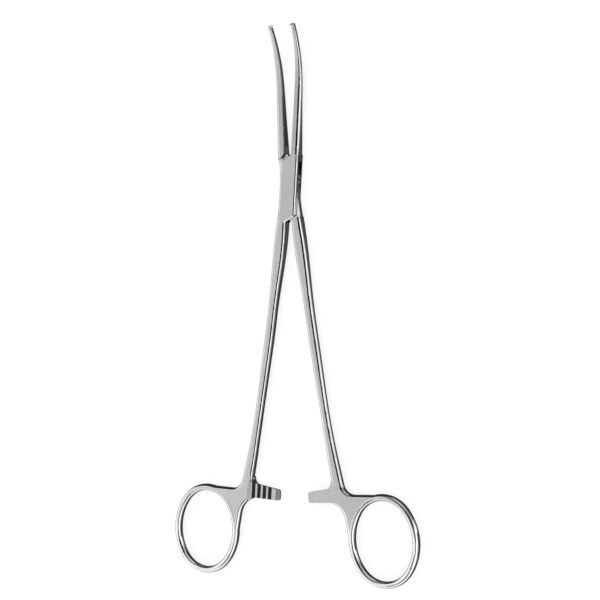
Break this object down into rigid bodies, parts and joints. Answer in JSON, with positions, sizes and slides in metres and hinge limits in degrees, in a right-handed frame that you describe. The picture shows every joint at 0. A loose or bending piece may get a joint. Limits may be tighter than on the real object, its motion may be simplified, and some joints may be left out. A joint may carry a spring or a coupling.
{
  "type": "hemostatic forceps",
  "caption": "Curved hemostatic forceps with finger rings, a box lock, a ratchet and toothed, cross-serrated jaws.",
  "frame": {"origin": "on the pivot axis, at the back face of the box lock", "axes": "+Y along the closed forceps from the rings to the jaw tips, +Z out of the front of the box lock along the pivot axis, the side that the jaw tips curve to, +X to the right as seen from the front"},
  "size_m": [0.1002, 0.1972, 0.0082],
  "materials": {
    "half_steel": "satin",
    "pin_steel": "satin, ground flush"
  },
  "bodies": {
    "box_side": {"female_half": "half_steel", "pivot_pin": "pin_steel"},
    "tongue_side": {"male_half": "half_steel"}
  },
  "joints": [
    {"name": "box_lock_hinge", "type": "hinge", "parent": "box_side", "child": "tongue_side", "pos_m": [0, 0, 0], "axis": [0, 0, 1], "range_deg": [-8.2, 40]}
  ]
}
